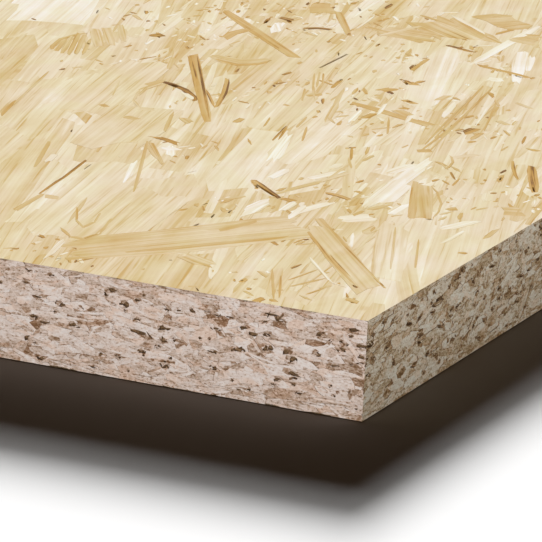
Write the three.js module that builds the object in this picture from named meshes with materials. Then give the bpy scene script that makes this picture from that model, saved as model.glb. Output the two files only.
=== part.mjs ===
// A square-edged oriented strand board panel, lying flat on its broad face.
//
// The board is pressed as one mat of glued strands and then sawn to size, so it is one solid:
// a flat sheet with sharp arrises, four sawn edges at right angles to the faces, and no tongue,
// groove, rebate or rounded corner.
//
// Frame, in millimetres: +Y runs along the panel, the way most of the face strands lie, +X runs
// across it and +Z is up. The origin is at the centre of the underside.

import * as THREE from 'three';

// Driving dimensions.
const panelLength = 1220; // along Y: the four-foot stock length
const panelWidth = 610; // along X: the two-foot stock width
const panelThickness = 18; // along Z: between the two pressed faces

// Surface, as the mean of the pale and the amber strands.
const strandColour = 0xddc79b;
const strandRoughness = 0.78;

// The sheet itself: pressed flat on two faces and sawn square on the other four.
function makePanel() {
  const sheet = new THREE.BoxGeometry(panelWidth, panelLength, panelThickness);
  const pressedStrands = new THREE.MeshStandardMaterial({
    color: strandColour,
    roughness: strandRoughness,
    metalness: 0,
  });
  const panel = new THREE.Mesh(sheet, pressedStrands);
  panel.name = 'osb_panel';
  panel.position.z = panelThickness / 2; // the underside rests at Z = 0
  return panel;
}

const part = new THREE.Group();
part.add(makePanel());

export default part;
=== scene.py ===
import math

import bpy
import numpy as np
from mathutils import Matrix, Vector
from mathutils.geometry import delaunay_2d_cdt


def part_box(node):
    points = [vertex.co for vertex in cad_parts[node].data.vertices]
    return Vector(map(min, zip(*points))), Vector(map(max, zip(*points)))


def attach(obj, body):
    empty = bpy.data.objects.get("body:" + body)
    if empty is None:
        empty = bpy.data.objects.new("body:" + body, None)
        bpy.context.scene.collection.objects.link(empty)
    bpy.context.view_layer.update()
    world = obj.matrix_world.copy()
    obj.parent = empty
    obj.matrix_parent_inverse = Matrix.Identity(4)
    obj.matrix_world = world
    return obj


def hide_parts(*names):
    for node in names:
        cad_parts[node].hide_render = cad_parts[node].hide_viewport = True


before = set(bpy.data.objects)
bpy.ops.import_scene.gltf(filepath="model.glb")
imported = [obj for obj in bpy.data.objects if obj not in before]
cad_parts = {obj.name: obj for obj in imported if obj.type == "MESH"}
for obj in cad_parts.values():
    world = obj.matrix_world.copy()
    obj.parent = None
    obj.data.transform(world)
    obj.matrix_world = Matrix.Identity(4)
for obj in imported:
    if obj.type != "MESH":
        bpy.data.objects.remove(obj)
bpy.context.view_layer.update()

# The panel's faces are dressed in closed skins. Each skin is cut along the outlines of the wood flakes
# that show in it. Lengths are in millimetres in the plane of a face, unless a comment says otherwise.

MM = 0.001
low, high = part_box("osb_panel")
WIDTH, LENGTH, THICK = [round((b - a) / MM, 2) for a, b in zip(low, high)]
HALF_X, HALF_Y = WIDTH / 2, LENGTH / 2

SKIN_TILE = 305.0    # how much of a face's length one skin covers
STRAND_PIXEL, CHIP_PIXEL = 0.25, 0.1    # the grids that say which flake shows where
CLOSE = 0.01    # points nearer than this become one
FLAKE_LEVELS, LEVELS = 3, 5    # flakes lie at the levels 0 to 2 of a skin
VOID, SKIRT = 3, 4    # the levels of gaps and of the hidden underside
SKIRT_DEPTH = 1.4
VOID_TONE = 2.0    # the finish of a gap's floor, painted dark as shade; flakes have tones of 0 to 1


def linked(name, data):
    """An object of the scene that holds the data."""
    made = bpy.data.objects.new(name, data)
    bpy.context.scene.collection.objects.link(made)
    return made


# ---------------------------------------------------------------- camera

FRAME_PX = 542
FOCAL_PX = 6125.3    # the photograph's long lens
CORNER_PX = (367.81, 321.07)    # where the near top corner shows
CORNER_DEPTH = 1.0481    # metres from the camera, along its view
AZIMUTH, ELEVATION, ROLL = 23.206, 15.534, 3.032    # degrees
SENSOR = 36    # mm


def direction(azimuth, elevation):
    """Towards a place in the sky, in degrees. Azimuth 0 is -Y and 90 is +X."""
    a, e = math.radians(azimuth), math.radians(elevation)
    return Vector((math.sin(a) * math.cos(e), -math.cos(a) * math.cos(e), math.sin(e)))


def ray_through(x, y):
    """The way to a pixel of the photograph, in the camera's own axes."""
    return Vector(((x - FRAME_PX / 2) / FOCAL_PX, (FRAME_PX / 2 - y) / FOCAL_PX, -1))


def camera_turn():
    """The camera's axes in the world's: to the right, up and back."""
    back, roll = direction(AZIMUTH, ELEVATION), math.radians(ROLL)
    level_right = Vector((0, 0, 1)).cross(back).normalized()
    level_up = back.cross(level_right)
    right = level_right * math.cos(roll) + level_up * math.sin(roll)
    up = level_up * math.cos(roll) - level_right * math.sin(roll)
    return Matrix((right, up, back)).transposed()


turn = camera_turn()
eye = Vector((HALF_X, -HALF_Y, THICK)) * MM - turn @ (ray_through(*CORNER_PX) * CORNER_DEPTH)
camera_data = bpy.data.cameras.new("camera")
camera_data.sensor_width = SENSOR
camera_data.lens = FOCAL_PX / FRAME_PX * SENSOR
camera_data.clip_start, camera_data.clip_end = 0.05, 200
camera = linked("camera", camera_data)
camera.matrix_world = Matrix.Translation(eye) @ turn.to_4x4()
bpy.context.scene.camera = camera


def on_top(x, y):
    """The place on the top face, from its centre, that shows at a pixel of the photograph."""
    ray = turn @ ray_through(x, y)
    place = eye + ray * (THICK * MM - eye.z) / ray.z
    return np.array(place.xy) / MM


# ---------------------------------------------------------------- flakes

class Flake:
    """A thin wood strand or chip lying in a face: its outline, its own grain axes and its finish.

    u runs along a flake and v across it, from its middle."""

    CHANCES = 24    # random numbers that a flake takes, however many its shape uses
    LONG, BENT = (3, 14), 0.4    # half lengths and bow from which a long side has one more point
    WIDE = (1.2, 4)    # half widths, times raggedness, from which a torn end has one more tooth
    WAVER = 0.14    # how far the long sides waver, in shares of the half width
    TAPER_START, TAPER = 0.45, 0.7    # where a flake starts to taper, and how far towards its tip's width
    POINTED = 0.15    # a tip narrower than this share of the flake is a point
    SLANT, MOST_SLANT = 0.8, 0.3    # how much an end may slant: shares of the half width, the half length
    BITE, BITE_PER_WIDTH, MOST_BITE = 1.2, 0.6, 0.35    # how deep its teeth go: mm, and the same shares

    def __init__(self, rng, start, end, width, tone, bow=0.0, tips=(0.8, 0.8), ragged=1.0):
        (x0, y0), (x1, y1) = start, end
        self.half = max(math.dist(start, end) / 2, CLOSE)
        self.half_width, self.bow, self.tone = width / 2, bow, tone
        self.middle = ((x0 + x1) / 2, (y0 + y1) / 2)
        self.along = ((x1 - x0) / (2 * self.half), (y1 - y0) / (2 * self.half))
        chance = iter(rng.uniform(-1, 1, self.CHANCES).tolist())
        self.seed = 50 + 50 * next(chance)    # its own place in the noise of the grain
        (x, y), (dx, dy) = self.middle, self.along
        outline = []
        for a, w in self._shape(tips, ragged, chance):
            u, v = a * self.half, w * self.half_width + bow * (1 - a * a)
            outline.append((x + u * dx - v * dy, y + u * dy + v * dx))
        self.outline = np.array(outline)
        xs, ys = zip(*outline)
        self.box = (min(xs), min(ys), max(xs), max(ys))

    def _shape(self, tips, ragged, chance):
        """Anticlockwise in shares of the half sizes: one long side, far end, other long side, near end."""
        stations = 1 + sum(self.half > long for long in self.LONG) + (abs(self.bow) > self.BENT)
        right, left = [], []
        for k in range(stations):
            a = (2 * k + 1 + 0.4 * next(chance)) / stations - 1
            tip = tips[int(a > 0)]
            w = 1 - (1 - tip) * max(abs(a) - self.TAPER_START, 0) / (1 - self.TAPER_START) * self.TAPER
            right.append((a, -w * (1 + self.WAVER * ragged * next(chance))))
            left.append((a, w * (1 + self.WAVER * ragged * next(chance))))
        far = self._end(tips[1], ragged, chance)
        near = [(-a, -w) for a, w in self._end(tips[0], ragged, chance)]
        return right + far + left[::-1] + near

    def _end(self, tip, ragged, chance):
        """The far end from its right corner to its left one, torn and aslant."""
        if tip < self.POINTED:
            return [(1.0, 0.0)]
        teeth = 1 + sum(ragged * self.half_width > wide for wide in self.WIDE)
        slant = next(chance) * min(self.SLANT * self.half_width / self.half, self.MOST_SLANT)
        depth = ragged * (self.BITE + self.half_width * self.BITE_PER_WIDTH)
        bite = min(self.MOST_BITE, depth / self.half)
        shares = [2 * k / teeth - 1 for k in range(teeth + 1)]
        return [(1 - abs(slant) - slant * v - bite * abs(next(chance)), v * tip) for v in shares]


def crossings(outline, y):
    """Where an outline's edges cross the rows at y, a column for each edge, and inf where one doesn't."""
    a, b = outline, np.roll(outline, -1, 0)
    y = y[:, None]
    crosses = (a[:, 1] > y) != (b[:, 1] > y)
    rise = np.where(b[:, 1] == a[:, 1], 1.0, b[:, 1] - a[:, 1])
    return np.where(crosses, a[:, 0] + (y - a[:, 1]) * (b[:, 0] - a[:, 0]) / rise, np.inf)


def grid_inside(outline, xs, ys):
    """Mask of the grid points that lie in an outline, row by row between its crossings."""
    at = np.sort(crossings(outline, ys), axis=1)
    mask = np.zeros((len(ys), len(xs)), bool)
    for k in range(0, (at < np.inf).sum(1).max(initial=0), 2):
        mask |= (xs >= at[:, k, None]) & (xs < at[:, k + 1, None])
    return mask


def points_inside(outline, x, y):
    """Which of the points (x, y) lie in an outline."""
    at = crossings(outline, y)
    return ((x[:, None] < at) & (at < np.inf)).sum(1) % 2 == 1


class Mat:
    """A face covered from the topmost flake down. Its grid of labels says which flake shows where.

    Flakes are small and dense up to `reach` from the point `near`, and then grow up to `growth` times."""

    LOOK_EVERY, LOOK_INWARD = 0.5, 0.6    # where an outline is looked at, in pixels along it and inside

    def __init__(self, x0, y0, x1, y1, pixel, near, reach, growth):
        self.x0, self.y0, self.x1, self.y1, self.pixel = x0, y0, x1, y1, pixel
        self.near, self.reach, self.growth = near, reach, growth
        self.nx, self.ny = round((x1 - x0) / pixel), round((y1 - y0) / pixel)
        self.label = np.full((self.ny, self.nx), -1, np.int32)
        self.flakes = []

    def grow(self, x, y):
        """How much larger and rarer the flakes are at a place."""
        away = math.dist((x, y), self.near) / self.reach - 1
        return 1 + (self.growth - 1) * min(max(away, 0.0), 1.0)

    def lay(self, flake, least=0.0):
        """Adds a flake under those already there, unless less than `least` mm2 of it would show."""
        def cells(start, end, count):
            return max(int(start / self.pixel), 0), min(int(end / self.pixel) + 1, count)

        x0, y0, x1, y1 = flake.box
        i0, i1 = cells(x0 - self.x0, x1 - self.x0, self.nx)
        j0, j1 = cells(y0 - self.y0, y1 - self.y0, self.ny)
        if i1 <= i0 or j1 <= j0:
            return
        bare = self.label[j0:j1, i0:i1] < 0
        if bare.sum() * self.pixel ** 2 < least:
            return
        xs = self.x0 + (np.arange(i0, i1) + 0.5) * self.pixel
        ys = self.y0 + (np.arange(j0, j1) + 0.5) * self.pixel
        shown = grid_inside(flake.outline, xs, ys) & bare
        if shown.sum() * self.pixel ** 2 >= least:
            self.label[j0:j1, i0:i1][shown] = len(self.flakes)
            self.flakes.append(flake)

    def at(self, x, y):
        """Which flakes show at places, by number."""
        i = np.clip(((x - self.x0) / self.pixel).astype(int), 0, self.nx - 1)
        j = np.clip(((y - self.y0) / self.pixel).astype(int), 0, self.ny - 1)
        return self.label[j, i]

    def seams(self, reach):
        """The stretches of the outlines that show, lengthened by `reach`, as rows of x0, y0, x1, y1."""
        starts = np.concatenate([f.outline for f in self.flakes])
        spans = np.concatenate([np.roll(f.outline, -1, 0) - f.outline for f in self.flakes])
        owner = np.repeat(np.arange(len(self.flakes)), [len(f.outline) for f in self.flakes])
        size = np.maximum(np.hypot(*spans.T), 1e-6)
        inward = np.stack([-spans[:, 1], spans[:, 0]], 1) / size[:, None]
        count = np.maximum((size / (self.pixel * self.LOOK_EVERY)).astype(int), 1)
        edge = np.repeat(np.arange(len(size)), count)
        place = np.arange(len(edge)) - np.repeat(np.cumsum(count) - count, count)
        share = ((place + 0.5) / count[edge])[:, None]
        spot = starts[edge] + share * spans[edge] + inward[edge] * self.pixel * self.LOOK_INWARD
        seen = self.at(spot[:, 0], spot[:, 1]) == owner[edge]
        first = seen & ((place == 0) | ~np.r_[False, seen[:-1]])
        last = seen & ((place == count[edge] - 1) | ~np.r_[seen[1:], False])
        e = edge[first]
        t0 = np.maximum(place[first] / count[e] - reach / size[e], 0.0)[:, None]
        t1 = np.minimum((place[last] + 1) / count[e] + reach / size[e], 1.0)[:, None]
        return np.concatenate([starts[e] + t0 * spans[e], starts[e] + t1 * spans[e]], 1)


# ---------------------------------------------------------------- cutting a tile along its seams

def clip_segments(segments, x0, y0, x1, y1):
    """The parts of the segments inside the rectangle."""
    p, d = segments[:, :2], segments[:, 2:] - segments[:, :2]
    t0, t1 = np.zeros(len(segments)), np.ones(len(segments))
    keep = np.ones(len(segments), bool)
    for axis, lo, hi in ((0, x0, x1), (1, y0, y1)):
        moving = np.abs(d[:, axis]) > 1e-9
        step = np.where(moving, d[:, axis], 1.0)
        ta, tb = (lo - p[:, axis]) / step, (hi - p[:, axis]) / step
        t0 = np.where(moving, np.maximum(t0, np.minimum(ta, tb)), t0)
        t1 = np.where(moving, np.minimum(t1, np.maximum(ta, tb)), t1)
        keep &= moving | ((p[:, axis] > lo) & (p[:, axis] < hi))
    keep &= t1 - t0 > 1e-6
    return np.concatenate([p + t0[:, None] * d, p + t1[:, None] * d], 1)[keep]


def triangulate(points, lines):
    """Constrained triangulation, anticlockwise: points and triangles."""
    got = delaunay_2d_cdt([Vector(p) for p in points], lines, [], 0, CLOSE, False)
    return np.array([tuple(v) for v in got[0]]), np.array(got[2])


def owners(flakes, xy, triangles):
    """The topmost flake at the middle of each triangle, or -1."""
    middle = xy[triangles].mean(1)
    order = np.argsort(middle[:, 0])
    x, y = middle[order].T
    found = np.full(len(triangles), -1)
    for k, flake in enumerate(flakes):
        x0, y0, x1, y1 = flake.box
        first, last = np.searchsorted(x, (x0, x1))
        if first == last:
            continue
        near = first + np.flatnonzero((found[first:last] < 0) & (y[first:last] > y0) & (y[first:last] < y1))
        if len(near):
            found[near[points_inside(flake.outline, x[near], y[near])]] = k
    label = np.empty_like(found)
    label[order] = found
    return label


def half_edges(triangles):
    """Start, end and triangle of each half edge, and the pairs of half edges that meet."""
    start, end = triangles.ravel(), np.roll(triangles, -1, 1).ravel()
    key = np.minimum(start, end) * (triangles.max() + 1) + np.maximum(start, end)
    order = np.argsort(key, kind="stable")
    same = np.flatnonzero(key[order][1:] == key[order][:-1])
    return start, end, np.repeat(np.arange(len(triangles)), 3), order[same], order[same + 1]


def cut_up(mat, seams, tile, folds):
    """One tile cut along the seams that show: points, triangles, and each triangle's flake and fold."""
    x0, y0, x1, y1 = tile
    segments = clip_segments(seams, *tile)
    cuts = np.linspace(x0, x1, folds + 1)[1:-1]
    segments = np.concatenate([segments, [(x, y0, x, y1) for x in cuts]]) if folds > 1 else segments
    here = [k for k, f in enumerate(mat.flakes)
            if f.box[2] > x0 and f.box[0] < x1 and f.box[3] > y0 and f.box[1] < y1]
    flakes = [mat.flakes[k] for k in here]

    def labelled(points, lines):
        xy, triangles = triangulate(points, lines)
        fold = np.searchsorted(cuts, xy[triangles].mean(1)[:, 0])
        return xy, triangles, owners(flakes, xy, triangles), fold

    points = [(x0, y0), (x1, y0), (x1, y1), (x0, y1)] + segments.reshape(-1, 2).tolist()
    lines = [(0, 1), (1, 2), (2, 3), (3, 0)] + [(4 + 2 * k, 5 + 2 * k) for k in range(len(segments))]
    xy, triangles, label, fold = labelled(points, lines)
    start, end, face, one, two = half_edges(triangles)
    f, g = face[one], face[two]
    real = np.ones(len(start), bool)
    real[two] = False
    real[one] = (label[f] != label[g]) | (fold[f] != fold[g])
    used, renumbered = np.unique(np.stack([start[real], end[real]], 1), return_inverse=True)
    xy, triangles, label, fold = labelled(xy[used].tolist(), renumbered.reshape(-1, 2).tolist())
    return xy, triangles, np.append(here, -1)[label], fold


# ---------------------------------------------------------------- skins

class Face:
    """One side of the panel: its mat of flakes, where it lies, and how deep each level is.

    Seams are cut on under their neighbours by `overcut`. The bake plans of a long low face are cut in
    folds, one above the other."""

    SHOWN_SIZE = 0.98    # how much of a bake plan's height is for what shows
    HIDDEN_START, HIDDEN_SIZE = 0.985, 0.015    # where the underside lies in it

    def __init__(self, name, mat, place, levels, material, depths, folds, overcut):
        self.name, self.mat, self.place, self.material = name, mat, place, material
        self.depths, self.folds = np.array((*depths, SKIRT_DEPTH)), folds
        self.seams = mat.seams(overcut)
        # The last tone, level and row of facts are those of bare spots, which are gaps.
        self.tone = np.array([f.tone for f in mat.flakes] + [VOID_TONE], np.float32)
        self.level = np.where(self.tone == VOID_TONE, VOID, np.append(levels, VOID))
        facts = [(*f.middle, *f.along, f.half, f.half_width, f.bow, f.seed) for f in mat.flakes]
        self.facts = np.array(facts + [(0, 0, 1, 0, 100, 100, 0, 0)])

    def skins(self):
        """The face's tiles."""
        mat = self.mat
        columns, rows = round((mat.x1 - mat.x0) / SKIN_TILE), max(round((mat.y1 - mat.y0) / SKIN_TILE), 1)
        xs, ys = np.linspace(mat.x0, mat.x1, columns + 1), np.linspace(mat.y0, mat.y1, rows + 1)
        by_corner = 0 if self.name == "right_edge" else columns - 1
        for i in range(columns):
            for j in range(rows):
                outer = (i == 0, j == 0, i == columns - 1, j == rows - 1)
                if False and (i, j) != (by_corner, 0):
                    continue
                yield self.skin(f"{self.name}_{i}_{j}", (xs[i], ys[j], xs[i + 1], ys[j + 1]), outer)

    def skin(self, name, tile, outer):
        """A tile as a closed slab: flakes at their levels, the drops between them, a mitred skirt."""
        xy, triangles, label, fold = cut_up(self.mat, self.seams, tile, self.folds)
        level = self.level[label]
        arris = (self.past_arris(xy, tile, outer) != 0).any(1)
        tops = triangles * LEVELS + np.where(arris[triangles], 0, level[:, None])
        drops, under, owner = self.drops(triangles, level, arris, np.unique(tops))
        size = np.array([3] * len(tops) + [len(d) for d in drops] + [len(under)])
        corner = np.concatenate([tops.ravel(), np.concatenate(drops + [under])])
        keys, index = np.unique(corner, return_inverse=True)
        faces = [index[e - s:e].tolist() for s, e in zip(size, np.cumsum(size))]
        owner = np.concatenate([np.arange(len(triangles)), owner])
        label, fold = np.append(label[owner], -1), np.append(fold[owner], 0)
        mesh = bpy.data.meshes.new(name)
        mesh.from_pydata(self.places(keys, xy, tile, outer), [], faces)
        self.finishes(mesh, xy[corner // LEVELS], label, size, len(triangles))
        self.bake_plan(mesh, xy[corner // LEVELS], tile, np.repeat(fold, size), size[-1])
        mesh.materials.append(self.material)
        mesh.validate()
        return linked(name, mesh)

    def drops(self, triangles, level, arris, top_keys):
        """The drops from each flake's edge to a lower one or to the skirt, and the hidden underside."""
        start, end, face, one, two = half_edges(triangles)
        beyond = np.full(len(start), SKIRT)
        beyond[one], beyond[two] = level[face[two]], level[face[one]]
        over = np.flatnonzero(level[face] < beyond)
        keys, sides, drops, owner = top_keys.tolist(), [], [], []
        for v in (start[over], end[over]):
            upper, lower = v * LEVELS + level[face[over]], v * LEVELS + beyond[over]
            upper = np.where(arris[v], v * LEVELS, upper)
            lower = np.where(arris[v] & (beyond[over] < SKIRT), v * LEVELS, lower)
            first, last = np.searchsorted(top_keys, upper, "right"), np.searchsorted(top_keys, lower, "left")
            sides.append(zip(upper.tolist(), lower.tolist(), first.tolist(), last.tolist()))
        for f, (p_up, p_low, p0, p1), (q_up, q_low, q0, q1) in zip(face[over].tolist(), *sides):
            down = [p_up] + (keys[p0:p1] + [p_low] if p_low > p_up else [])
            up = ([q_low] + keys[q0:q1][::-1] if q_low > q_up else []) + [q_up]
            if len(down) + len(up) > 2:
                drops.append(down + up)
                owner.append(f)
        border = dict(zip(start[beyond == SKIRT].tolist(), end[beyond == SKIRT].tolist()))
        ring = [next(iter(border))]
        while len(ring) < len(border):
            ring.append(border[ring[-1]])
        return drops, [v * LEVELS + SKIRT for v in reversed(ring)], owner

    def past_arris(self, xy, tile, outer):
        """Which way the panel lies from each point on one of its arrises: 1, -1, or 0 off them."""
        x0, y0, x1, y1 = tile
        left, bottom, right, top = outer
        x, y = xy.T
        return np.stack([left * (x - x0 < CLOSE) * 1.0 - right * (x1 - x < CLOSE),
                         bottom * (y - y0 < CLOSE) * 1.0 - top * (y1 - y < CLOSE)], 1)

    def places(self, keys, xy, tile, outer):
        """Where the vertices lie, in metres. The skirt slopes in by 45 degrees under the panel's arrises."""
        skirt = keys % LEVELS == SKIRT
        spot = xy[keys // LEVELS]
        spot = spot + skirt[:, None] * self.past_arris(spot, tile, outer) * SKIRT_DEPTH
        where = self.place(spot[:, 0], spot[:, 1], self.depths[keys % LEVELS])
        return (np.stack(np.broadcast_arrays(*where), 1) * MM).tolist()

    def finishes(self, mesh, xy, label, size, tops):
        """What the material reads: tone, and place in the grain, in shares of the flake and in the face."""
        x, y, dx, dy, half, half_width, bow, seed = self.facts[np.repeat(label, size)].T
        away_x, away_y = xy[:, 0] - x, xy[:, 1] - y
        u, v = away_x * dx + away_y * dy, away_y * dx - away_x * dy
        v = v - bow * (1 - np.clip(u / half, -1.5, 1.5) ** 2)
        rim = u / half, v / half_width, half_width
        for name, values in {"grain": (u, v, seed), "rim": rim, "plan": (*xy.T, np.zeros_like(u))}.items():
            layer = mesh.attributes.new(name, "FLOAT_VECTOR", "CORNER")
            layer.data.foreach_set("vector", np.stack(values, 1).astype(np.float32).ravel())
        tone = self.tone[label]
        if self.folds > 1:
            tone[tops:] = VOID_TONE    # the drops of the sawn edges take the gaps' dark finish, painted shade
        layer = mesh.attributes.new("tone", "FLOAT", "FACE")
        layer.data.foreach_set("value", tone)

    def bake_plan(self, mesh, xy, tile, fold, hidden):
        """A plan of the tile in 0 to 1, its folds one above the other, the underside squeezed in above."""
        x0, y0, x1, y1 = tile
        step = (x1 - x0) / self.folds
        u, v = (xy[:, 0] - x0 - fold * step) / step, (xy[:, 1] - y0) / (y1 - y0)
        v = (fold + v) / self.folds * self.SHOWN_SIZE
        u[-hidden:] = (xy[-hidden:, 0] - x0) / (x1 - x0)
        v[-hidden:] = self.HIDDEN_START + (xy[-hidden:, 1] - y0) / (y1 - y0) * self.HIDDEN_SIZE
        layer = mesh.uv_layers.new(name="OFBake")
        layer.data.foreach_set("uv", np.stack([u, v], 1).astype(np.float32).ravel())


# ---------------------------------------------------------------- strands of the broad faces

BED_LENGTH, BED_WIDTH = 160.0, 44.0    # the strands that close what is still open
# Lengths drawn at random: median, spread, least and most.
STRAND_LENGTHS, SPLINTER_LENGTHS, TICK_LENGTHS = (80, 0.35, 30, 160), (24, 0.5, 7, 60), (2.2, 0.5, 0.9, 6)
# Shades drawn at random, from 0, white, to 1, dark brown: how often, and from what to what.
STRAND_SHADES = ((0.10, 0.12, 0.25), (0.66, 0.31, 0.46), (0.24, 0.46, 0.56))
SPLINTER_SHADES = ((0.14, 0.00, 0.14), (0.32, 0.20, 0.33), (0.24, 0.39, 0.48), (0.23, 0.50, 0.64),
                   (0.07, 0.66, 0.84))
TICK_SHADES = ((0.36, 0.04, 0.14), (0.40, 0.54, 0.70), (0.24, 0.72, 0.92))
CALM_SHADES = (0.27, 0.52)    # what random strands keep to where listed ones stand out

# Places where the face is broken up near the visible corner: pixel of the photograph and reach in mm.
BROKEN_UP_PX = [
    (225, 30, 16), (300, 18, 18), (345, 12, 14), (370, 112, 15), (410, 95, 14), (425, 60, 10), (330, 195, 9),
    (395, 190, 12), (450, 195, 12), (520, 195, 12), (272, 283, 10), (480, 130, 12), (45, 252, 10),
    (150, 60, 12), (225, 95, 8), (165, 150, 8), (310, 85, 9), (240, 205, 8), (505, 60, 10), (300, 235, 8),
]
BROKEN_UP = [(*on_top(x, y), reach) for x, y, reach in BROKEN_UP_PX]


def lean_at(y):
    """How far the strands lean from the panel's length, in degrees, which drifts along it."""
    return -15 + 2 * math.sin((y + HALF_Y) / 190)


def stir_at(x, y, wild):
    """How broken up the face is, 0 to 1: as listed near the corner, in patches some 60 mm across beyond."""
    wave = math.sin(x / 21 + 1.7 * math.sin(y / 29)) + math.sin(y / 25 - 1.4 * math.sin(x / 17 + 2))
    wide = min(max(0.5 + 0.4 * wave, 0.0), 1.0)
    if wild == 1:
        return wide
    near = sum(math.exp(-((x - a) ** 2 + (y - b) ** 2) / reach ** 2) for a, b, reach in BROKEN_UP)
    return wide * wild + min(near * 1.3, 1.0) * (1 - wild)


def wildness(grow):
    """0 where the listed strands lie, rising to 1 away from them."""
    return min((grow - 1) / 0.4, 1.0)


def calmed(tone, grow):
    return min(max(tone, CALM_SHADES[0]), CALM_SHADES[1]) if grow == 1 else tone


def pick_tone(rng, shades):
    """A shade at random, as often as its row says."""
    at = rng.uniform()
    for share, palest, darkest in shades:
        at -= share
        if at < 0:
            break
    return rng.uniform(palest, darkest)


def size_about(rng, median, spread, least, most):
    """A size at random. Most lie within the spread of the median, in natural logarithms."""
    return min(max(median * math.exp(rng.normal(0, spread)), least), most)


def flake_at(rng, x, y, way, length, width, tone, bend, tips, ragged=1.0):
    """A flake by its middle and the way it lies, bent by about `bend` of its length."""
    dx, dy = way[0] * length / 2, way[1] * length / 2
    return Flake(rng, (x - dx, y - dy), (x + dx, y + dy), width, tone, rng.normal(0, bend) * length,
                 rng.uniform(*tips, 2), ragged)


def strand(rng, x, y, length, width, lean, tone, tips=(0.3, 0.8)):
    lean = math.radians(lean)
    return flake_at(rng, x, y, (math.sin(lean), math.cos(lean)), length, width, tone, 0.008, tips)


def draw_strand(rng, x, y, grow):
    wild = wildness(grow)
    lean = lean_at(y) + rng.normal(0, 2.5 + 5 * wild if rng.uniform() < 0.995 - 0.135 * wild else 38)
    tone = calmed(pick_tone(rng, STRAND_SHADES), grow)
    width = size_about(rng, 18 - 8 * wild, 0.5, 2.5, 28) * grow
    return strand(rng, x, y, size_about(rng, *STRAND_LENGTHS), width, lean, tone, (0.5, 0.95))


def draw_splinter(rng, x, y, grow):
    """A narrow broken piece that lies on the strands, mostly where the face is broken up."""
    wild = wildness(grow)
    stir = stir_at(x, y, wild)
    if rng.uniform() > 0.12 + 0.75 * stir:
        return None
    lean = lean_at(y) + rng.normal(0, 3.5 + 6 * wild if rng.uniform() > (0.07 + 0.2 * stir) * wild else 42)
    tone = pick_tone(rng, SPLINTER_SHADES)
    width = size_about(rng, 1.3 if tone > 0.47 else 1.9, 0.45, 0.5, 4.5) * grow
    length = size_about(rng, *SPLINTER_LENGTHS) * grow
    return strand(rng, x, y, length, width, lean, calmed(tone, grow), (0.1, 0.9))


def draw_tick(rng, x, y, grow):
    """A small fragment, where the face is broken up."""
    wild = wildness(grow)
    if rng.uniform() > (1 - 0.85 * wild) or rng.uniform() > stir_at(x, y, wild):
        return None
    tone = pick_tone(rng, TICK_SHADES)
    lean = lean_at(y) + rng.normal(0, 28)
    length, width = size_about(rng, *TICK_LENGTHS) * grow, rng.uniform(0.4, 1.0) * grow
    return strand(rng, x, y, length, width, lean, tone)


def draw_slit(rng, x, y, grow):
    """A short open gap at a strand's edge."""
    lean = lean_at(y) + rng.normal(0, 12)
    return strand(rng, x, y, rng.uniform(1.2, 4), rng.uniform(0.25, 0.4), lean, VOID_TONE)


def scatter(mat, rng, draw, spacing, least):
    """Lays drawn flakes at random, one for each square of the spacing on average where they don't grow."""
    for _ in range(int((mat.x1 - mat.x0) * (mat.y1 - mat.y0) / spacing ** 2)):
        x, y = rng.uniform(mat.x0, mat.x1), rng.uniform(mat.y0, mat.y1)
        grow = mat.grow(x, y)
        if rng.uniform() * grow ** 2 < 1:
            flake = draw(rng, x, y, grow)
            if flake:
                mat.lay(flake, least * grow ** 2)


# Three enlarged parts of the photograph, in which the lists below were read: the photograph's
# pixel at the part's upper left, and how much it is enlarged.
LEFT_CROP, FAR_CROP, NEAR_CROP = (0, 20, 5.0), (260, 0, 5.5), (240, 150, 5.0)

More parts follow.
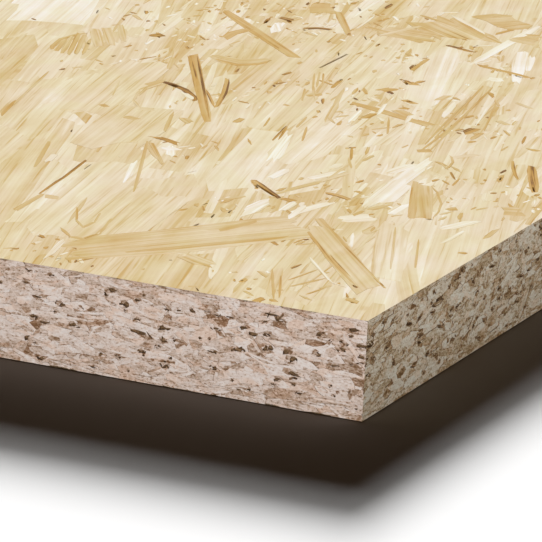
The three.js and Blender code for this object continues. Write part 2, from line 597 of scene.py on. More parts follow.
# Strands that stand out near the visible corner: start, end and half width, in pixels of the enlarged
# part, shade from 0, white, to 100, dark brown, and for a bent strand a point in its middle.
SEEN_STRANDS = {LEFT_CROP: [
    (965, 165, 1040, 515, 27, 64), (985, 175, 1048, 500, 5, 75, 1015, 330), (940, 175, 1010, 470, 4, 70),
    (795, 302, 975, 405, 11, 76, 890, 328), (900, 352, 975, 402, 10, 10),
    (1135, 285, 1076, 440, 13, 68, 1122, 360), (1145, 290, 1086, 435, 4, 78, 1132, 360),
    (1030, 345, 1074, 438, 7, 68), (1165, 515, 1218, 488, 10, 68), (745, 578, 905, 630, 8, 76, 828, 596),
    (815, 632, 895, 655, 16, 3), (850, 620, 858, 690, 22, 3), (690, 690, 620, 815, 16, 4),
    (738, 600, 665, 868, 10, 58, 705, 730), (755, 610, 815, 725, 12, 56), (735, 625, 790, 700, 9, 54),
    (285, 662, 225, 718, 14, 20), (437, 695, 300, 800, 6, 74), (330, 775, 190, 872, 5, 86),
    (225, 862, 75, 950, 10, 60), (200, 876, 300, 890, 9, 56), (250, 600, 170, 740, 11, 56),
    (250, 250, 60, 430, 6, 56), (80, 395, 0, 482, 9, 62), (262, 150, 440, 62, 8, 62, 330, 82),
    (275, 160, 335, 85, 12, 58), (305, 172, 365, 72, 12, 56), (340, 175, 398, 62, 12, 60),
    (376, 172, 428, 66, 12, 56), (410, 178, 455, 88, 10, 58), (400, 45, 430, 150, 26, 50),
    (470, 35, 500, 140, 26, 49), (530, 35, 560, 130, 24, 50), (600, 20, 620, 110, 16, 50),
    (750, 68, 828, 85, 11, 80), (1120, -50, 1480, 190, 19, 64), (1150, -20, 1400, 145, 5, 74),
    (1120, 105, 1270, 42, 14, 66, 1180, 60), (1040, 165, 1390, 188, 17, 54, 1220, 212),
    (1050, 175, 1370, 200, 4, 64, 1200, 225), (1440, 530, 1390, 600, 5, 68), (1455, 560, 1345, 715, 24, 2),
    (1435, 585, 1365, 705, 38, 5), (1440, 740, 1330, 800, 16, 4), (1400, 888, 1472, 906, 8, 70),
    (1262, 795, 1405, 895, 9, 80), (1262, 800, 1290, 835, 9, 66), (1370, 880, 1200, 985, 24, 6),
    (1480, 900, 1400, 960, 16, 4), (1300, 1000, 1060, 1060, 10, 62), (1080, 900, 1240, 880, 5, 56),
    (285, 1165, 1625, 1022, 62, 50), (600, 1166, 1480, 1080, 8, 60), (1000, 1052, 1500, 1002, 7, 55),
    (300, 1195, 900, 1150, 7, 54), (885, 1165, 1075, 1232, 22, 56), (930, 1190, 1070, 1238, 5, 64),
    (385, 930, 385, 1002, 5, 62), (302, 1036, 356, 1086, 7, 56), (340, 1078, 427, 1097, 7, 56),
    (405, 1099, 512, 1063, 7, 56), (492, 1077, 558, 990, 7, 56), (388, 939, 379, 1008, 6, 57),
    (374, 994, 423, 1043, 6, 57), (408, 1041, 484, 1004, 6, 57), (471, 1014, 504, 961, 6, 57),
    (815, 312, 685, 355, 7, 50), (705, 342, 662, 408, 7, 50), (662, 394, 705, 448, 7, 50),
    (688, 441, 795, 451, 7, 50), (330, 1090, 215, 1200, 13, 10), (1040, 622, 1008, 645, 6, 62),
    (1238, 590, 1258, 625, 6, 64), (1420, 430, 1445, 420, 8, 62), (500, 430, 540, 425, 9, 62),
    (620, 480, 700, 500, 10, 54), (870, 455, 820, 560, 10, 58), (900, 480, 960, 520, 14, 56),
    (840, 250, 870, 180, 12, 56), (560, 380, 600, 300, 6, 50), (720, 330, 820, 300, 10, 56),
    (690, 380, 740, 330, 6, 54), (60, 1170, 20, 1200, 9, 55), (1090, 920, 1180, 890, 5, 64),
], FAR_CROP: [
    (70, 92, 182, 122, 7, 97, 122, 94), (58, 92, 20, 132, 8, 97), (130, 110, 60, 182, 26, 2),
    (95, 120, 110, 180, 24, 3), (148, 150, 152, 162, 5, 90), (230, 160, 400, 165, 5, 80, 300, 153),
    (250, 52, 440, 62, 24, 57, 340, 42), (430, 60, 490, 200, 20, 57), (480, 195, 500, 180, 7, 78),
    (505, 12, 540, 18, 9, 75), (640, 10, 500, 110, 9, 8), (520, 165, 640, 80, 7, 10),
    (860, 90, 1240, 250, 60, 52), (1000, 240, 1190, 292, 5, 76), (1040, 90, 1250, 215, 18, 55),
    (640, 160, 1000, 215, 30, 50), (560, 140, 900, 235, 8, 57), (1100, 120, 1240, 200, 5, 62),
    (880, 80, 1100, 150, 5, 58), (1228, 128, 1455, 112, 48, 57), (1280, 190, 1400, 160, 5, 70),
    (1260, 100, 1400, 80, 6, 64), (1300, 150, 1440, 130, 6, 62), (1400, 200, 1551, 230, 30, 53),
    (1440, 190, 1551, 200, 6, 60), (1551, 135, 1150, 360, 19, 15), (1050, 82, 1250, 190, 8, 10),
    (1185, 355, 1490, 430, 5, 68, 1330, 388), (1455, 262, 1405, 470, 38, 2), (1500, 300, 1470, 400, 26, 4),
    (1262, 425, 1335, 450, 20, 3), (1240, 440, 1330, 430, 8, 12), (930, 320, 830, 390, 9, 60),
    (845, 355, 825, 380, 9, 76), (785, 435, 840, 462, 6, 86), (790, 440, 868, 474, 11, 68),
    (850, 460, 905, 440, 9, 70), (640, 502, 770, 482, 11, 64), (700, 500, 740, 520, 8, 80),
    (505, 522, 540, 480, 9, 60), (477, 556, 960, 700, 11, 62, 715, 625), (850, 655, 965, 690, 6, 68),
    (800, 550, 850, 572, 5, 88), (785, 545, 868, 578, 9, 66), (740, 600, 832, 642, 16, 60),
    (760, 590, 830, 600, 6, 70), (560, 655, 642, 618, 10, 66), (710, 640, 700, 742, 5, 62),
    (1160, 530, 900, 800, 4, 60), (1230, 470, 960, 760, 4, 60), (1285, 475, 930, 832, 5, 62),
    (1130, 640, 880, 832, 5, 64), (1200, 560, 990, 760, 3, 58), (1300, 520, 1180, 700, 10, 5),
    (1312, 540, 1230, 722, 7, 60), (1100, 738, 1205, 700, 14, 70), (1150, 772, 1232, 722, 10, 62),
    (850, 830, 952, 826, 8, 68), (505, 810, 500, 882, 10, 70), (500, 808, 525, 815, 6, 86),
    (602, 800, 580, 852, 9, 62), (450, 436, 420, 460, 5, 84), (455, 432, 385, 492, 9, 66),
    (300, 400, 290, 482, 6, 60), (330, 390, 310, 482, 5, 58), (240, 530, 370, 512, 10, 60),
    (290, 450, 300, 552, 6, 60), (250, 480, 230, 560, 6, 58), (350, 400, 345, 470, 5, 58),
    (635, 256, 662, 238, 5, 84), (960, 885, 1040, 916, 5, 64), (1040, 850, 1020, 930, 4, 62, 1062, 890),
    (1060, 920, 1112, 952, 5, 60), (1440, 792, 1462, 748, 5, 72), (1320, 832, 1372, 800, 5, 62),
    (1440, 812, 1545, 832, 5, 64), (1045, 250, 850, 610, 95, 20), (1150, 330, 1010, 560, 40, 24),
    (600, 530, 662, 562, 12, 4), (560, 600, 480, 680, 14, 4), (700, 560, 640, 640, 10, 5),
    (960, 560, 1050, 520, 12, 58), (1000, 600, 1060, 540, 5, 60), (1340, 300, 1330, 340, 8, 58),
    (200, 700, 260, 640, 6, 56), (230, 780, 260, 690, 7, 58), (20, 700, 60, 640, 5, 66),
    (60, 780, 150, 690, 5, 68), (1290, 545, 1320, 590, 8, 58), (1300, 660, 1370, 690, 8, 56),
    (1080, 560, 1000, 650, 16, 20), (880, 560, 800, 680, 14, 20), (1400, 560, 1500, 600, 6, 50),
    (640, 200, 900, 140, 6, 50),
], NEAR_CROP: [
    (405, 335, 728, 692, 5, 60, 562, 522), (335, 400, 592, 690, 8, 62, 455, 550),
    (376, 368, 666, 728, 60, 50), (560, 670, 592, 692, 7, 80), (698, 662, 718, 682, 5, 76),
    (385, 335, 430, 392, 16, 60), (450, 520, 560, 640, 4, 66, 500, 585), (778, 380, 752, 600, 4, 56),
    (895, 440, 876, 590, 4, 60), (770, 345, 735, 665, 85, 34), (880, 150, 858, 345, 19, 57),
    (920, 165, 915, 350, 52, 52), (950, 175, 962, 342, 4, 62, 1006, 260), (862, 180, 842, 340, 4, 64),
    (960, 36, 862, 110, 18, 5), (850, 130, 662, 290, 52, 8), (535, 100, 320, 150, 11, 6),
    (930, 60, 600, 300, 34, 14), (690, 330, 480, 350, 20, 14), (480, 255, 225, 325, 12, 6),
    (1215, 345, 960, 405, 13, 5), (1130, 400, 1000, 470, 9, 8), (900, 60, 720, 120, 16, 8),
    (860, 262, 740, 330, 18, 12), (205, 206, 425, 156, 6, 56), (150, 226, 560, 110, 8, 46),
    (400, 210, 560, 256, 6, 62, 480, 224), (60, 150, 100, 196, 12, 60), (170, 236, 20, 300, 12, 10),
    (330, 270, 232, 350, 15, 10), (580, 212, 612, 208, 7, 68), (620, 420, 692, 380, 18, 56),
    (650, 410, 680, 380, 6, 68), (1030, 300, 1096, 290, 9, 64), (990, 352, 1040, 330, 6, 60),
    (1050, 105, 1076, 150, 4, 66), (1010, 150, 1052, 175, 4, 64), (1060, 180, 1100, 140, 4, 60),
    (1290, 165, 1315, 120, 12, 60), (1365, 45, 1392, 150, 9, 68, 1368, 100), (1456, 75, 1476, 222, 24, 65),
    (1462, 150, 1474, 215, 6, 86), (1300, 302, 1440, 312, 22, 54), (1100, 518, 1132, 512, 7, 70),
    (1290, 390, 1215, 450, 10, 57), (5, 660, 36, 640, 10, 64), (160, 590, 170, 760, 7, 62),
    (205, 620, 196, 740, 5, 62), (60, 760, 130, 736, 11, 72), (152, 742, 180, 760, 9, 66),
    (95, 602, 150, 640, 12, 55), (510, 735, 602, 766, 8, 62), (530, 712, 540, 740, 5, 74),
    (565, 410, 555, 488, 10, 16), (335, 520, 470, 675, 9, 12), (240, 650, 400, 592, 3, 62),
    (250, 682, 430, 640, 3, 60), (330, 722, 442, 682, 3, 60), (300, 620, 350, 560, 4, 56),
    (640, 300, 760, 270, 8, 56), (560, 330, 620, 300, 8, 55), (420, 160, 560, 60, 6, 50),
    (560, 240, 640, 160, 10, 20), (440, 100, 520, 60, 12, 20), (600, 60, 680, 20, 6, 54),
    (540, 30, 560, 100, 6, 56), (1000, 60, 1040, 100, 5, 58), (1050, 40, 1200, 20, 6, 50),
    (1380, 330, 1400, 290, 5, 60),
]}
# Open gaps there: start, end and half width.
SEEN_SLITS = {LEFT_CROP: [
    (1272, 815, 1392, 892, 4), (845, 318, 892, 336, 5), (965, 1031, 1000, 1014, 4),
    (1052, 990, 1078, 964, 3), (1140, 965, 1160, 946, 3), (438, 112, 446, 124, 6), (845, 1195, 860, 1202, 4),
    (785, 78, 800, 88, 3),
], FAR_CROP: [
    (320, 376, 492, 290, 4), (435, 446, 455, 432, 5), (540, 38, 552, 60, 6), (1395, 412, 1450, 430, 4),
    (795, 448, 812, 466, 6), (812, 556, 832, 562, 5), (645, 250, 660, 240, 3), (46, 110, 24, 130, 6),
    (140, 108, 178, 122, 5), (232, 162, 252, 162, 5),
], NEAR_CROP: [
    (930, 340, 962, 348, 5), (1296, 155, 1310, 132, 4), (562, 674, 580, 684, 4), (1462, 180, 1472, 212, 4),
    (72, 170, 90, 192, 5), (550, 757, 570, 766, 3), (8, 655, 16, 648, 3),
]}
# Broad calm strands under them: start and end, from the corner in mm, width and shade.
BROAD_STRANDS = [
    (-67, 60, -60, 16, 14, 40), (-95, 118, -88, 76, 14, 41), (-111, 152, -102, 98, 12, 42),
    (-76, 148, -69, 108, 8, 41),
]


def from_crop(crop, x0, y0, x1, y1, half_width, middle=()):
    """Start, end, width and bow on the top face of what was read in an enlarged part."""
    left, top, zoom = crop

    def place(x, y):
        return on_top(left + x / zoom, top + y / zoom)

    start, end = place(x0, y0), place(x1, y1)
    x, y = middle or ((x0 + x1) / 2, (y0 + y1) / 2)
    reach = half_width / math.dist((x0, y0), (x1, y1))
    centre, rim = place(x, y), place(x - (y1 - y0) * reach, y + (x1 - x0) * reach)
    along = (end - start) / np.linalg.norm(end - start)
    across = np.array((-along[1], along[0]))
    return start, end, 2 * abs((rim - centre) @ across), (centre - (start + end) / 2) @ across


def tone_of(shade):
    """The strand finish's tone for a shade as it was read."""
    if shade < 0.1:
        return shade + 0.06
    return shade if shade <= 0.5 else min(1.5 * shade - 0.25, max(shade, 0.9))


def lay_seen_strands(mat, rng):
    """The gaps, then the strands from the smallest to the largest, because the small ones lie on top."""
    for crop, slits in SEEN_SLITS.items():
        for slit in slits:
            start, end, width, _ = from_crop(crop, *slit)
            mat.lay(Flake(rng, start, end, max(width, 0.4), VOID_TONE))
    found = []
    for crop, strands in SEEN_STRANDS.items():
        for x0, y0, x1, y1, half_width, shade, *middle in strands:
            found.append((*from_crop(crop, x0, y0, x1, y1, half_width, middle), tone_of(shade / 100)))
    found.sort(key=lambda strand: math.dist(strand[0], strand[1]) * strand[2])
    for x0, y0, x1, y1, width, shade in BROAD_STRANDS:
        found.append(((HALF_X + x0, y0 - HALF_Y), (HALF_X + x1, y1 - HALF_Y), width, 0.0, shade / 100))
    for start, end, width, bow, tone in found:
        tips = rng.uniform(0.1, 0.7, 2) if tone < 0.3 or width < 1 else rng.uniform(0.5, 1.0, 2)
        mat.lay(Flake(rng, start, end, max(width, 0.5), tone, bow, tips, 2.4 if tone < 0.14 else 1.0))


def cover_with_strands(mat, rng):
    """From the topmost: gaps, fragments, splinters, strands, and last a bed that closes what is open."""
    scatter(mat, rng, draw_slit, spacing=45, least=0.2)
    scatter(mat, rng, draw_tick, spacing=3.4, least=0.25)
    scatter(mat, rng, draw_splinter, spacing=7.5, least=2.0)
    scatter(mat, rng, draw_strand, spacing=15, least=5.0)
    for x in np.arange(mat.x0, mat.x1, BED_WIDTH / 2):
        for y in np.arange(mat.y0, mat.y1 + BED_LENGTH, BED_LENGTH / 2):
            tone = rng.uniform(0.36, 0.44)
            mat.lay(strand(rng, x, y, BED_LENGTH, BED_WIDTH, lean_at(y), tone, (0.9, 1)), least=1.0)


# ---------------------------------------------------------------- chips of the sawn edges

# s runs along an edge and t up it, from the underside.
FINE_TOP, FINE_BOTTOM = 1.1, 1.9    # how thick the layers of finer chips under the broad faces are
SOUND = 0.8    # how far from the arrises the random pits stay
PIT_SPACING = 4.4
LISTED = 70.0    # how far from the near upright arris the lists below reach
CHIP_LENGTHS, PIT_LENGTHS = (4.6, 0.5, 1.4, 13), (1.4, 0.45, 0.6, 3.6)
CHIP_SHADES = ((0.72, 0.12, 0.38), (0.24, 0.40, 0.60), (0.04, 0.70, 0.86))

# Pits and chips that stand out near the visible corner: start and end (s from its upright arris, t),
# width and, for chips, shade.
FRONT_PITS = [
    (-19.5, 16.3, -16.3, 16.2, 0.45), (-17.2, 15.2, -15.2, 15.6, 0.8), (-20, 14.2, -18.6, 15, 0.4),
    (-33.5, 14.5, -32.2, 14.4, 0.5), (-30.8, 14.8, -29.3, 14.8, 0.3), (-28.9, 14.5, -27.8, 14.5, 0.5),
    (-26.3, 14.5, -24.8, 14.5, 0.4), (-23.8, 12.8, -22.4, 13.2, 0.6), (-19.8, 12.3, -17.8, 12.5, 0.6),
    (-18.6, 10.2, -17, 10.5, 1.0), (-15.8, 9.6, -14.2, 10.4, 0.8), (-9.3, 10.3, -8.2, 10.6, 0.6),
    (-9.6, 14, -8.2, 14.5, 0.7), (-7.3, 13.2, -6.3, 13.4, 0.5), (-5.2, 13.3, -4.3, 13.6, 0.7),
    (-3.9, 13, -3.2, 13.2, 0.4), (-5.1, 12.1, -3.9, 12.2, 0.6), (-3.4, 14.5, -2.5, 15, 0.5),
    (-2.2, 13, 0, 13.6, 0.9), (-1.5, 11.3, 0, 11.5, 0.5), (-1.8, 10.2, 0, 10.3, 0.4),
    (-6.3, 9.1, -4.3, 8.8, 0.5), (-3, 9.7, -2.3, 9.8, 0.3), (-13.9, 6.3, -12.1, 6.3, 0.4),
    (-14, 5.5, -12.6, 5.6, 0.5), (-13.6, 4.4, -12.6, 4.4, 0.4), (-17, 4.5, -15.6, 4.9, 0.7),
    (-17.2, 3.9, -16.2, 3.8, 0.4), (-12.6, 3, -11.2, 3.1, 0.3), (-6.8, 5.3, -6.2, 5.3, 0.4),
    (-5.7, 4.1, -5.2, 3.4, 0.5), (-4.9, 4.6, -4.3, 4, 0.3), (-2.9, 4.6, -2.4, 5.2, 0.3),
    (-1.6, 2, -1, 2.2, 0.6), (-28.7, 7.9, -27.8, 7.4, 0.5), (-30, 7.7, -28.6, 7.9, 0.3),
    (-28.9, 4.8, -27.5, 4.9, 0.6), (-25, 3.3, -24.4, 3.4, 0.5), (-31.6, 9.8, -30.8, 9.9, 0.4),
    (-29.8, 9.9, -29, 10, 0.3), (-22, 2, -21, 2.2, 0.6), (-24, 1.8, -22.8, 1.8, 0.3),
    (-29, 12, -27.6, 12, 0.3), (-66, 14.3, -64.4, 14.6, 0.5), (-64.2, 13.9, -63.7, 13.9, 0.5),
    (-65, 16.5, -64, 16.7, 0.4), (-60.7, 16.5, -59.3, 16.5, 0.5), (-63.9, 12.4, -61.7, 12, 0.5),
    (-58.9, 11.2, -57.1, 11.7, 0.6), (-59.6, 10.1, -58.8, 10, 0.4), (-54.6, 11.5, -53.8, 11.7, 0.4),
    (-50, 14.6, -48.9, 14.8, 0.6), (-49.3, 15.6, -47.2, 15.6, 0.9), (-46.4, 13.6, -44.8, 13.5, 1.1),
    (-46.2, 12.4, -45.4, 12.5, 0.5), (-42.6, 15.8, -41.9, 15.8, 0.6), (-44.2, 11, -42.5, 11.1, 0.7),
    (-44.9, 9.1, -41.3, 8.8, 0.6), (-39.5, 10.2, -37.5, 10.8, 1.0), (-38.5, 14, -37.2, 13.8, 0.3),
    (-36, 14, -35, 14.3, 0.4), (-37.4, 12, -36.7, 12.2, 0.4), (-36.4, 8.2, -35.8, 9, 0.5),
    (-39, 8.2, -37.4, 8.3, 0.6), (-39.4, 6.5, -38.6, 7.5, 0.5), (-43, 5.2, -41.5, 5.8, 0.5),
    (-36.9, 5, -36.3, 5.6, 0.5), (-38.1, 4.4, -37.3, 4.5, 0.4), (-64, 8.4, -62.8, 8.8, 0.8),
    (-61.8, 7.7, -60.4, 7.7, 0.6), (-56.4, 8, -54.8, 8.5, 0.6), (-63.3, 3.8, -62.5, 3.9, 0.5),
    (-47, 3.8, -46, 3.8, 0.5), (-50.7, 2, -50.3, 2.2, 0.5), (-44.8, 1.5, -44.2, 1.6, 0.4),
    (-52, 1.2, -50.8, 1.2, 0.3),
]
FRONT_CHIPS = [
    (-9.4, 13.6, -8.0, 13.8, 0.7, 80), (-12, 12.4, -6.8, 12.6, 1.4, 82), (-19, 11.4, -13, 11.4, 0.9, 8),
    (-30, 13.5, -25, 14.2, 0.35, 82), (-34, 12.5, -32.5, 12.5, 1.0, 48), (-24, 9, -16, 7.4, 0.5, 5),
    (-22, 8.5, -17, 6.3, 0.4, 6), (-25.5, 5.3, -21.5, 6.9, 1.1, 64), (-30, 6.5, -23, 7.8, 1.6, 42),
    (-10.5, 2.6, -2, 2.7, 0.5, 8), (-24, 2.7, -20.5, 2.9, 0.6, 50), (-13, 2.5, -11, 2.4, 0.8, 58),
    (-37, 13.5, -33, 13.8, 0.3, 82), (-41, 4.5, -35, 4.6, 0.6, 80), (-42, 6.3, -40.4, 6.1, 0.6, 72),
    (-61, 5.1, -57.3, 5.2, 0.9, 70), (-57, 5, -52.5, 3.6, 0.6, 46), (-43, 13.3, -38, 12.5, 0.5, 46),
    (-40, 6.4, -36.2, 6.8, 0.6, 46), (-58.6, 15.8, -55.8, 16, 2.0, 12), (-60, 9.3, -51, 9.5, 0.5, 8),
    (-55.5, 10.5, -49, 11.3, 0.6, 8), (-65, 10.8, -61.5, 10.8, 2.2, 40), (-40, 16.5, -30, 16, 1.6, 22),
    (-53.2, 11.5, -51.2, 11.7, 0.9, 90), (-42.5, 14.7, -41.2, 14.6, 0.4, 88),
]
RIGHT_PITS = [
    (6.5, 16.1, 9, 15.7, 0.6), (11, 15.4, 13.5, 15.2, 0.3), (17.8, 14.8, 18.8, 14.5, 0.4),
    (17.5, 13, 20.5, 12.7, 0.6), (22.5, 12.5, 25, 13, 0.8), (29, 13.9, 31.5, 13, 0.5),
    (29, 12.5, 31, 12.3, 0.4), (22.8, 10, 26.5, 9.3, 0.8), (22.8, 8.6, 25.5, 8, 0.8),
    (32.5, 9.2, 36, 8.2, 0.8), (37, 10.4, 39, 9.3, 0.5), (20.5, 4.6, 23.5, 4.2, 0.6),
    (26.5, 2.2, 28.3, 2, 0.6), (39, 5.2, 41.5, 4.5, 0.8), (60.5, 9.3, 62.5, 8.9, 0.8),
    (58.2, 6.2, 59.8, 5.8, 0.7), (71, 9.3, 73.8, 8.9, 0.6), (75, 9.4, 77, 9.2, 0.4),
    (56.2, 14.6, 59, 14.2, 0.6), (51.5, 2.6, 54, 1.4, 1.0), (54, 5.2, 56, 4.6, 0.8), (70, 4.6, 71, 4.4, 0.4),
    (65.8, 1.2, 67.5, 0.9, 0.6), (0, 13.6, 4, 13.2, 1.0), (0, 11.2, 1.2, 11, 0.5), (3, 10.8, 4, 9.8, 1.0),
    (0, 8.4, 3, 7.4, 0.5),
]
RIGHT_CHIPS = [
    (18.8, 15.8, 22.5, 15.6, 1.1, 92), (31.5, 4.4, 34, 2.9, 1.4, 85), (17, 1.8, 27, 2.4, 1.6, 8),
    (37, 13.4, 45, 12, 1.4, 8), (43, 13, 50, 10.5, 1.2, 12), (39, 10.6, 45, 10, 1.0, 42),
    (20, 5.8, 24.5, 5.4, 1.5, 12), (61, 5.2, 66, 5, 0.8, 10),
]


def chip(rng, s, t, length, thick, turn, tone, tips=(0.1, 0.8), ragged=1.0):
    turn = math.radians(turn)
    return flake_at(rng, s, t, (math.cos(turn), math.sin(turn)), length, thick, tone, 0.04, tips, ragged)


def draw_chip(rng, s, t, grow):
    """A chip, sawn through."""
    fine = not FINE_BOTTOM < t < THICK - FINE_TOP
    length = size_about(rng, *CHIP_LENGTHS) * grow
    thick = min(size_about(rng, 0.6 if fine else 1.45, 0.4, 0.4, 2.8) * grow, length * 0.7)
    turn = rng.normal(0, (6 if fine else 10) if rng.uniform() < 0.9 else 35)
    tone = rng.uniform(0.2, 0.42) if fine else pick_tone(rng, CHIP_SHADES)
    return chip(rng, s, t, length, thick, turn, tone)


def draw_pit(rng, s, t, grow):
    """A gap between the chips, mostly in the core."""
    low_t, high_t = FINE_BOTTOM + 0.3, THICK - FINE_TOP - 0.2
    stays = low_t < t < high_t or SOUND < t < THICK - SOUND and rng.uniform() < 0.3
    t = t if stays else rng.uniform(low_t, high_t)
    length = size_about(rng, *PIT_LENGTHS) * grow
    thick = min(length * rng.uniform(0.3, 0.7), 0.8)
    return chip(rng, s, t, length, thick, rng.normal(0, 22), VOID_TONE, ragged=2.0)


def lay_pit(mat, rng, pit):
    """A pit, up to two slivers that reach over its rims, and up to two smaller gaps beside it."""
    (s, t), half, half_width = pit.middle, pit.half, pit.half_width
    for _ in range(rng.integers(0, 3)):
        side = rng.choice((-1, 1))
        at_s, at_t = s + rng.uniform(-1, 1) * half, t + side * rng.uniform(0.4, 1.1) * half_width
        thick, turn, tone = rng.uniform(0.2, 0.35), rng.normal(0, 14), rng.uniform(0.2, 0.5)
        mat.lay(chip(rng, at_s, at_t, 1.1 * half + 0.3, thick, turn, tone), least=0.03)
    mat.lay(pit, least=0.1)
    for _ in range(rng.integers(0, 3)):
        at_s, at_t = s + rng.uniform(-1.3, 1.3) * half, t + rng.uniform(-1.2, 1.2) * half_width
        turn = rng.normal(0, 40)
        mat.lay(chip(rng, at_s, at_t, half + 0.2, 0.9 * half_width + 0.1, turn, VOID_TONE), least=0.05)


def lay_crumb(mat, rng, pit):
    """A darker crumb about a pit."""
    (s, t), half, half_width = pit.middle, pit.half, pit.half_width
    at_s, at_t = s + rng.normal(0, 0.4) * half, t + rng.normal(0, 0.6) * half_width
    turn, tone = rng.normal(0, 20), rng.uniform(0.58, 0.8)
    mat.lay(chip(rng, at_s, at_t, 2.6 * half, 2.6 * half_width + 0.2, turn, tone), least=0.1)


def lay_bed_of_chips(mat, rng, spacing_s=4.0, spacing_t=1.3, lowest=0.5):
    """The chips that close what is still open."""
    for s in np.arange(mat.x0, mat.x1, spacing_s):
        for t in np.arange(lowest, THICK, spacing_t):
            at_s, turn, tone = s + rng.uniform(-1, 1), rng.normal(0, 5), rng.uniform(0.4, 0.7)
            mat.lay(chip(rng, at_s, t, 9.0, 2.4, turn, tone, (0.9, 1)), least=0.1)


def cover_with_chips(mat, rng, corner, listed_pits, listed_chips, others):
    """Pits and chips. Where pits are listed, only the share `others` of the random ones is laid."""
    pits = []
    for s0, t0, s1, t1, width in listed_pits:
        tips = rng.uniform(0.2, 0.8, 2)
        pits.append(Flake(rng, (corner + s0, t0), (corner + s1, t1), width, VOID_TONE, 0.0, tips, 2.0))
    for _ in range(int((mat.x1 - mat.x0) * THICK / PIT_SPACING ** 2)):
        s, t = rng.uniform(mat.x0, mat.x1), rng.uniform(0, THICK)
        grow = mat.grow(s, t)
        if rng.uniform() * grow ** 2 < (others if listed_pits and abs(s - corner) < LISTED else 1):
            pits.append(draw_pit(rng, s, t, grow))
    for pit in pits:
        lay_pit(mat, rng, pit)
    for s0, t0, s1, t1, width, shade in listed_chips:
        tips = rng.uniform(0.2, 0.7, 2)
        mat.lay(Flake(rng, (corner + s0, t0), (corner + s1, t1), width, shade / 100, 0.0, tips))
    for pit in pits:
        lay_crumb(mat, rng, pit)
    scatter(mat, rng, draw_chip, spacing=1.45, least=0.5)
    lay_bed_of_chips(mat, rng)


# ---------------------------------------------------------------- materials

def linear(level):
    """An 8-bit level of a display colour as the linear one that shaders take."""
    c = level / 255
    return c / 12.92 if c <= 0.04045 else ((c + 0.055) / 1.055) ** 2.4


def colour_stops(*rows):
    """The stops of a ramp from rows of a place and a display colour."""
    return [(place, [linear(level) for level in colour]) for place, *colour in rows]


STRAND_TONES = colour_stops(
    (0.00, 251, 248, 240), (0.20, 240, 229, 205), (0.40, 229, 211, 175), (0.60, 215, 188, 134),
    (0.80, 204, 164, 93), (0.93, 178, 134, 66), (1.00, 126, 90, 48))
SHORT_EDGE_TONES = colour_stops(
    (0.00, 242, 231, 224), (0.30, 231, 213, 202), (0.50, 214, 191, 175), (0.70, 184, 157, 135),
    (0.86, 150, 117, 90), (1.00, 122, 90, 62))
LONG_EDGE_TONES = colour_stops(
    (0.00, 242, 234, 217), (0.30, 228, 213, 190), (0.50, 206, 183, 150), (0.70, 173, 144, 105),
    (0.86, 137, 104, 68), (1.00, 105, 75, 45))
# The dark browns of the gaps' floors: painted shade, on top of the shade of their depth.
STRAND_GAP_SHADE_TONES = colour_stops((0.3, 74, 52, 30), (0.7, 122, 90, 54))
CHIP_GAP_SHADE_TONES = colour_stops((0.35, 84, 62, 42), (0.65, 146, 116, 84))
YELLOWED, PINKED, BLUSHED = (0.998, 0.996, 0.925, 1), (1.008, 0.984, 0.985, 1), (1.0, 0.91, 0.84, 1)
USUAL_CHIP = 0.34    # the tone that a chip's rim fades to


